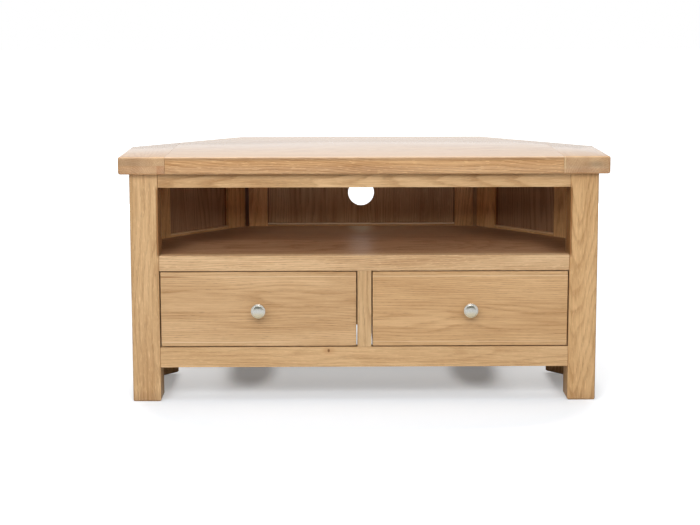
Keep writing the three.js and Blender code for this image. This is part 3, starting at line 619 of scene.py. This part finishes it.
board("front_bottom_rail", "solidOak", alongX, -alongY, look=calmOak, marks=railEndShades + [
    {"at": knotAt, "half": (12, 8, 6), "hue": "#B58352", "strength": 0.45, "soft": 0.7},
    {"at": knotAt, "half": (2.3, 6, 3.4), "hue": "#6B4020", "strength": 0.85, "soft": 0.5}])
board("centre_stile", "solidOak", alongZ, -alongY, look={"shade": 0.90})

# the shelf: painted light at the back and under the cable hole, painted shade near and along the diagonal
# sides
low, high = boxMm("shelf")
shelfCornerShade = {"half": (42, 90, 20), "hue": "#8C7460", "strength": 0.55, "soft": 0.8, "blend": "MULTIPLY"}
wallFootShade = dict(shelfCornerShade, half=(150, 55, 20), strength=0.5)
board("shelf", "shadedVeneer", alongX, alongZ, look={"shade": 0.71, "shine": 0.08}, staveMm=130, marks=[
    {"at": (0, high.y - 30, high.z), "half": (330, 90, 20), "hue": "#EFD0AC", "strength": 0.6, "soft": 0.8},
    {"at": (0, high.y, high.z), "half": (24, 75, 6), "hue": "#FFF6E0", "strength": 1.0, "soft": 0.7},
    dict(shelfCornerShade, at=(-430, -100, high.z)),
    dict(shelfCornerShade, at=(430, -100, high.z), strength=0.72),
    dict(wallFootShade, at=(-350, 45, high.z), turn=45),
    dict(wallFootShade, at=(350, 45, high.z), turn=-45)])
board("centre_divider", "solidOak", alongY, alongX)

# the back: painted light along the top of the lower board, painted shade in the grooves beside the panel
litEdge = {"hue": "#FFE7C8", "strength": 1.0, "soft": 0.3}
grooveShade = {"hue": "#7E4A26", "strength": 0.9, "soft": 0.4}
board("back_top_rail", "shadedOak", alongX, alongY)
low, high = boxMm("back_lower_board")
board("back_lower_board", "shadedOak", alongX, alongY, staveMm=90, marks=[
    dict(litEdge, at=(0, low.y, high.z), half=(400, 3, 3))])
low, high = boxMm("back_panel")
backVeneer = {"shade": 0.93, "light": "#E2BA8D", "dark": "#B4875A"}
board("back_panel", "shadedVeneer", alongZ, alongY, look=backVeneer, staveMm=150, marks=[
    dict(grooveShade, at=(x, low.y, high.z), half=(2.4, 5, 600)) for x in (low.x + 8, high.x - 8)])
print("front, top and back boards made")

# the end caps: glued up from two layers, whose end grain shows at the front
low, high = boxMm("top_end_cap_right")
capMiddle, seam = (low.z + high.z) / 2, low.x
layer = {"square": True, "soft": 0.1, "strength": 1.0, "blend": "MULTIPLY"}
# the caps share the top's painted light at the back and its painted arris highlight
capLogs = {
    "left": {"across": -40, "below": 70, "marks": [
        quiet, arris, rearPaintedLight,
        dict(layer, at=(-470, low.y, capMiddle - 9), half=(58, 12, 9), hue="#FFF6EC"),
        dict(layer, at=(-seam - 8, low.y, capMiddle - 9), half=(8, 12, 9), hue="#F0E0D8"),
        dict(layer, at=(-485, low.y, capMiddle + 9), half=(40, 12, 9), hue="#E8E6E6", soft=0.5)]},
    "right": {"across": 55, "below": 60, "marks": [
        quiet, arris, rearPaintedLight,
        dict(layer, at=(seam + 1.2, low.y, capMiddle), half=(1, 12, 17), hue="#F6D9AE", blend="MIX",
             strength=0.4),
        dict(layer, at=(450, low.y, capMiddle - 13), half=(60, 12, 6), hue="#FBF2EA"),
        dict(layer, at=(470, low.y, capMiddle + 2), half=(14, 12, 5), hue="#DDE1E5", square=False,
             soft=0.9)]},
}

# the legs: painted shade on the inside beside the open space and near the floor
legLogs = {
    "left": {"slope": -0.8, "across": 34, "below": 88, "look": {"rings": 0.2, "pores": 0.6}},
    "right": {"slope": 3.2, "across": -6, "below": 46,
              "look": {"rings": 0.26, "pores": 0.6, "light": "#DEB786", "dark": "#AE8252"}},
}
spaceLow, spaceHigh = boxMm("shelf")[1].z, boxMm("front_top_rail")[0].z
inSpaceShade = {"half": (4, 27, (spaceHigh - spaceLow) / 2), "hue": "#BCA48C", "strength": 0.9, "square": True,
           "soft": 0.1, "blend": "MULTIPLY"}
nearFloorShade = {"at": (0, 0, 0), "half": (endless, endless, 18), "hue": "#E6E2E2", "strength": 0.75,
             "soft": 0.8, "blend": "MULTIPLY"}

# the walls: painted light and shade, each side its own; painted light on the lower boards' tops, painted
# shade in the rear inner corners and panel grooves
stileShade = {"left": 1.26, "right": 1.11}
panelShade = {"left": 0.64, "right": 0.57}
cornerDark = {"left": 0.95, "right": 0.4}
cornerAt = boxMm("back_stile_right")[1].x - 12, boxMm("back_stile_right")[0].y + 3
lowerBoardTop = boxMm("diagonal_lower_board_right")[1].z
wallEdge = dict(litEdge, at=(0, 0, lowerBoardTop), half=(endless, endless, 3), strength=0.25)
low, high = boxMm("diagonal_panel_right")
panelEdge = low.x + 7.5, high.y - 9.5

for side, sign in (("left", -1), ("right", 1)):
    outward = alongX * sign
    slanting = Vector((sign, 1, 0))
    alongSlant = Vector((-sign, 1, 0))
    board("top_end_cap_" + side, "solidOak", alongY, alongZ, look=capLacquer, **capLogs[side])
    board("front_leg_" + side, "solidOak", alongZ, -alongY, **legLogs[side], marks=[
        dict(inSpaceShade, at=(shoulder * sign, -170, (spaceLow + spaceHigh) / 2)), nearFloorShade])
    corner = {"at": (cornerAt[0] * sign, cornerAt[1], 0), "half": (5, 9, endless), "hue": "#5E3018",
              "strength": cornerDark[side], "soft": 0.2}
    board("back_stile_" + side, "shadedOak", alongZ, alongY, look={"shade": stileShade[side]}, marks=[corner])
    board("side_stile_" + side, "solidOak", alongZ, outward)
    board("side_top_rail_" + side, "solidOak", alongY, outward)
    board("side_bottom_rail_" + side, "solidOak", alongY, outward)
    board("side_panel_" + side, "oakVeneer", alongZ, outward)
    board("diagonal_front_stile_" + side, "shadedOak", alongZ, slanting)
    board("diagonal_rear_stile_" + side, "shadedOak", alongZ, slanting, look={"shade": 1.15}, marks=[corner])
    board("diagonal_top_rail_" + side, "shadedOak", alongSlant, slanting)
    board("diagonal_lower_board_" + side, "shadedOak", alongSlant, slanting, staveMm=90, marks=[wallEdge])
    shadedPanelVeneer = {"shade": panelShade[side], "rings": 0.4}
    board("diagonal_panel_" + side, "shadedVeneer", alongZ, slanting, look=shadedPanelVeneer, marks=[
        dict(grooveShade, at=(panelEdge[0] * sign, panelEdge[1], 0), half=(4, 4, endless))])
    board("mid_foot_" + side, "solidOak", alongZ, slanting)
    board("rear_foot_" + side, "solidOak", alongZ, slanting)
    board("corner_block_" + side, "solidOak", slanting, alongZ)
    board("outer_guide_" + side, "beech", alongY, outward)
    board("outer_runner_" + side, "beech", alongY, outward, wide=0.5)
    board("inner_runner_" + side, "beech", alongY, outward, wide=0.5)
    board("drawer_inner_side_" + side, "solidAsh", alongY, outward)
    board("drawer_outer_side_" + side, "solidAsh", alongY, outward)
    board("drawer_back_" + side, "solidAsh", alongX, alongY)
    board("drawer_bottom_" + side, "birchPlywood", alongX, alongZ, wide=0.4)

# the drawer fronts: veneered, with solid edges whose joint lines catch the light
jointLine = {"hue": "#F0D9B6", "strength": 0.5, "soft": 0.5}
low, high = boxMm("drawer_front_left")
frontLogs = {
    "left": {"slope": 0.4, "skew": 0.5, "below": 48, "across": -18, "start": 300,
             "look": {"light": "#DBB78C", "dark": "#AE8558"}, "marks": [
                 dict(jointLine, at=(-330, low.y, low.z + 8.5), half=(170, 6, 0.8)),
                 dict(jointLine, at=(-170, low.y, high.z - 10), half=(175, 6, 0.8)),
                 {"at": (-412, low.y, high.z - 10), "half": (38, 6, 1.6),
                  "hue": "#8A5A30", "strength": 0.7, "soft": 0.7}]},
    "right": {"slope": -0.6, "skew": 0.4, "below": 42, "across": 22, "start": -200, "marks": [
        dict(jointLine, at=(218, low.y, high.z - 9.5), half=(420, 6, 0.8)),
        dict(jointLine, at=(218, low.y, low.z + 9), half=(420, 6, 0.7), strength=0.4)]},
}
for side, log in frontLogs.items():
    board("drawer_front_" + side, "oakVeneer", alongX, -alongY, **log)
print("side, diagonal and drawer boards made")


# knobs and their screws

knob = {
    "sides": 96,
    "boreMm": 2.2,              # radius of the screw hole
    "boreDeepMm": 9,
    "baseMm": 8.5,              # radii
    "neckMm": 6,
    "rimMm": 15,
    "baseThickMm": 2,
    "backEaseMm": 0.4,
    "baseEaseMm": 0.5,
    "neckLongMm": 9,
    "flareMm": 5,
    "edgeMm": 4.5,
    "faceMm": 4.5,              # how far the face stands out of the edge
    "beadMm": 1.5,
    "grooveWideMm": 0.8,
    "grooveDeepMm": 0.5,
    "flareSteps": 10,
    "beadSteps": 6,
    "domeSteps": 18,
    "smoothDeg": 35,
    "belowMm": 13,              # the lower part is painted warmer, a painted reflection of the oak
    "below": {"half": (18, endless, 9), "hue": "#E8D9B4", "strength": 0.9, "soft": 0.6},
}
# brushed nickel, pale and a little warm with a fanned highlight, and zinc plating, bluish and duller
metals = {
    "brushedNickel": {"tint": "#E8E4DA", "rough": 0.24, "spun": 0.5},
    "zincPlatedSteel": {"tint": "#C3C5C8", "rough": 0.35, "spun": 0.0},
}
turning = {
    "lineMm": 0.4,              # really about 0.1 mm; drawn coarse enough to show
    "detail": 2.0,
    "roughUneven": 0.07,
    "shades": (0.93, 1.05),
    "relief": 0.15,
    "reliefMm": 0.05,
}


def knobProfile():
    # radius and distance out from the drawer front, from the bottom of the screw hole to the face
    quarter = math.pi / 2
    base, thick = knob["baseMm"], knob["baseThickMm"]
    neckEnd = thick + knob["neckLongMm"]
    edgeEnd = neckEnd + knob["flareMm"] + knob["edgeMm"]
    rings = [(knob["boreMm"], knob["boreDeepMm"]), (knob["boreMm"], 0), (base - knob["backEaseMm"], 0),
             (base, knob["backEaseMm"]), (base, thick - knob["baseEaseMm"]),
             (base - knob["baseEaseMm"], thick), (knob["neckMm"], thick)]
    for step in range(knob["flareSteps"] + 1):
        turn = quarter * step / knob["flareSteps"]
        rings.append((knob["rimMm"] - (knob["rimMm"] - knob["neckMm"]) * math.cos(turn),
                      neckEnd + knob["flareMm"] * math.sin(turn)))
    beadAt = knob["rimMm"] - knob["beadMm"]
    for step in range(knob["beadSteps"] + 1):
        turn = quarter * step / knob["beadSteps"]
        rings.append((beadAt + knob["beadMm"] * math.cos(turn), edgeEnd + knob["beadMm"] * math.sin(turn)))
    floorAt = edgeEnd + knob["beadMm"] - knob["grooveDeepMm"]
    rings.append((beadAt, floorAt))
    domeAt, domeHigh = beadAt - knob["grooveWideMm"], edgeEnd + knob["faceMm"] - floorAt
    for step in range(knob["domeSteps"]):
        turn = quarter * step / knob["domeSteps"]
        rings.append((domeAt * math.cos(turn), floorAt + domeHigh * math.sin(turn)))
    return rings, edgeEnd + knob["faceMm"]


def spunKnob(node):
    low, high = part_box(node)
    axis = Vector(((low.x + high.x) / 2, high.y, (low.z + high.z) / 2))
    rings, tip = knobProfile()
    bpy.ops.object.select_all(action="DESELECT")
    radius, out = rings[0]
    bpy.ops.mesh.primitive_circle_add(vertices=knob["sides"], radius=radius * mm, fill_type="NGON",
                                      location=axis - alongY * out * mm, rotation=(math.pi / 2, 0, 0))
    piece = bpy.context.object
    piece.name = node + "_spun"
    bpy.ops.object.mode_set(mode="EDIT")
    bpy.ops.mesh.select_all(action="SELECT")
    for nextRadius, nextOut in rings[1:]:
        bpy.ops.mesh.extrude_region_move(TRANSFORM_OT_translate={"value": (0, (out - nextOut) * mm, 0)})
        share = nextRadius / radius
        bpy.ops.transform.resize(value=(share, 1, share), center_override=axis)
        radius, out = nextRadius, nextOut
    bpy.ops.mesh.extrude_region_move(TRANSFORM_OT_translate={"value": (0, (out - tip) * mm, 0)})
    bpy.ops.mesh.merge(type="CENTER")
    bpy.ops.mesh.select_all(action="SELECT")
    bpy.ops.mesh.normals_make_consistent(inside=False)
    bpy.ops.object.mode_set(mode="OBJECT")
    bpy.ops.object.transform_apply(location=True, rotation=True, scale=True)
    bpy.ops.object.shade_smooth_by_angle(angle=math.radians(knob["smoothDeg"]))
    return piece


def metalMaterial(metal, side, centre, marks=()):
    # fine lines turned round the axis; the more it is spun, the more a highlight fans out from the middle
    made = emptyMaterial(metal + "_" + side)
    tree = made.node_tree
    look = metals[metal]
    place = addNode(tree, "TexCoord").outputs["Object"]
    onAxis = addNode(tree, "VectorMath", [place, centre], operation="SUBTRACT")
    flat = addNode(tree, "VectorMath", [onAxis, (1, 0, 1)], operation="MULTIPLY")
    away = addNode(tree, "VectorMath", [flat], operation="LENGTH")
    turned = addNode(tree, "TexNoise", {"W": away, "Scale": 1 / (turning["lineMm"] * mm),
                                        "Detail": turning["detail"]}, noise_dimensions="1D")
    gloss = addNode(tree, "MapRange", {"Value": turned, "To Min": look["rough"] - turning["roughUneven"],
                                       "To Max": look["rough"] + turning["roughUneven"]})
    darker, lighter = [linearColour(look["tint"], shade) for shade in turning["shades"]]
    hue = addNode(tree, "Mix", {"Factor": turned, 6: darker, 7: lighter}, data_type="RGBA")
    for mark in marks:
        hue = marked(tree, hue, place, mark)
    bump = addNode(tree, "Bump", {"Height": turned, "Strength": turning["relief"],
                                  "Distance": turning["reliefMm"] * mm})
    around = addNode(tree, "VectorMath", [onAxis, alongY], operation="CROSS_PRODUCT")
    shader = addNode(tree, "BsdfPrincipled", {
        "Base Color": hue, "Metallic": 1.0, "Roughness": gloss, "Normal": bump,
        "Anisotropic": look["spun"], "Tangent": around})
    addNode(tree, "OutputMaterial", {"Surface": shader})
    return made


for side in ("left", "right"):
    node = "knob_" + side
    piece = spunKnob(node)
    below = dict(knob["below"], at=middleOf(node) / mm - alongZ * knob["belowMm"])
    piece.data.materials.append(metalMaterial("brushedNickel", side, middleOf(node), [below]))
    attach(piece, bodyOf[node])
    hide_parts(node)
    node = "knob_screw_" + side
    frame["nodes"][node].data.materials.clear()
    frame["nodes"][node].data.materials.append(metalMaterial("zincPlatedSteel", side, middleOf(node)))
print("knobs finished")
